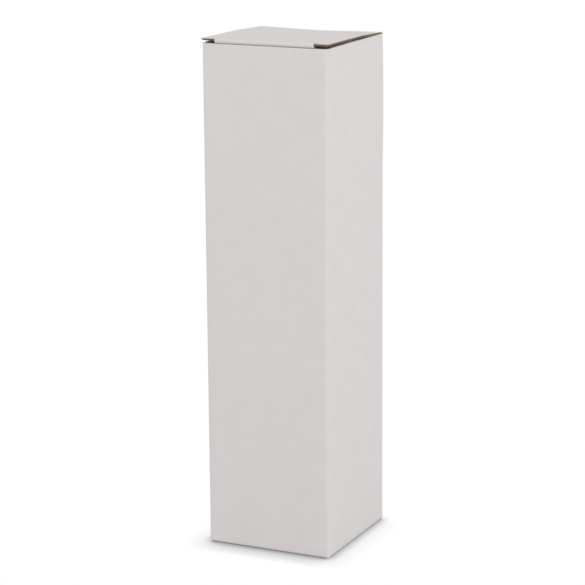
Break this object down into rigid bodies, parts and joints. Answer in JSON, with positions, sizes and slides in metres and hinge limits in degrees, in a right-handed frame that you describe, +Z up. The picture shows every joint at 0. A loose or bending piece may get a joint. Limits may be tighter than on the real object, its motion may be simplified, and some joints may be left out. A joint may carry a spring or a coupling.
{
  "type": "vacuum flask gift box",
  "caption": "Tall square carton of white-lined corrugated board for a flask, with a tuck lid on slit ears, dust flaps and a snap-lock bottom.",
  "frame": {"origin": "on the floor under the middle of the box", "axes": "+Z up along the box's height, -Y is the front, where the lid tucks in, and +X the right-hand side wall"},
  "size_m": [0.071, 0.072, 0.2695],
  "materials": {
    "white_board": "matt white-lined E-flute corrugated board",
    "kraft_board": "matt brown kraft liner and fluting of the same board, at its cut edges and inside"
  },
  "bodies": {
    "carton": {"front_wall": "white_board", "right_wall": "white_board", "back_wall": "white_board", "left_wall": "white_board", "glue_flap": "kraft_board", "bottom_front_flap": "white_board", "bottom_back_flap": "white_board", "bottom_left_flap": "white_board", "bottom_right_flap": "white_board"},
    "lid": {"lid_panel": "white_board"},
    "tuck": {"tuck_flap": "white_board"},
    "left_dust": {"left_dust_flap": "white_board"},
    "right_dust": {"right_dust_flap": "white_board"}
  },
  "joints": [
    {"name": "lid_crease", "type": "hinge", "parent": "carton", "child": "lid", "pos_m": [0, 0.03525, 0.26805], "axis": [-1, 0, 0], "range_deg": [0, 175]},
    {"name": "tuck_crease", "type": "hinge", "parent": "lid", "child": "tuck", "pos_m": [0, -0.03345, 0.26871], "axis": [-1, 0, 0], "range_deg": [0, 26.25]},
    {"name": "left_dust_crease", "type": "hinge", "parent": "carton", "child": "left_dust", "pos_m": [-0.03425, 0, 0.26625], "axis": [0, -1, 0], "range_deg": [0, 87.5]},
    {"name": "right_dust_crease", "type": "hinge", "parent": "carton", "child": "right_dust", "pos_m": [0.03425, 0, 0.26625], "axis": [0, 1, 0], "range_deg": [0, 87.5]}
  ],
  "couplings": [
    {"joint": "tuck_crease", "follows": "lid_crease", "ratio": 0.15},
    {"joint": "left_dust_crease", "follows": "lid_crease", "ratio": 0.5},
    {"joint": "right_dust_crease", "follows": "lid_crease", "ratio": 0.5}
  ]
}
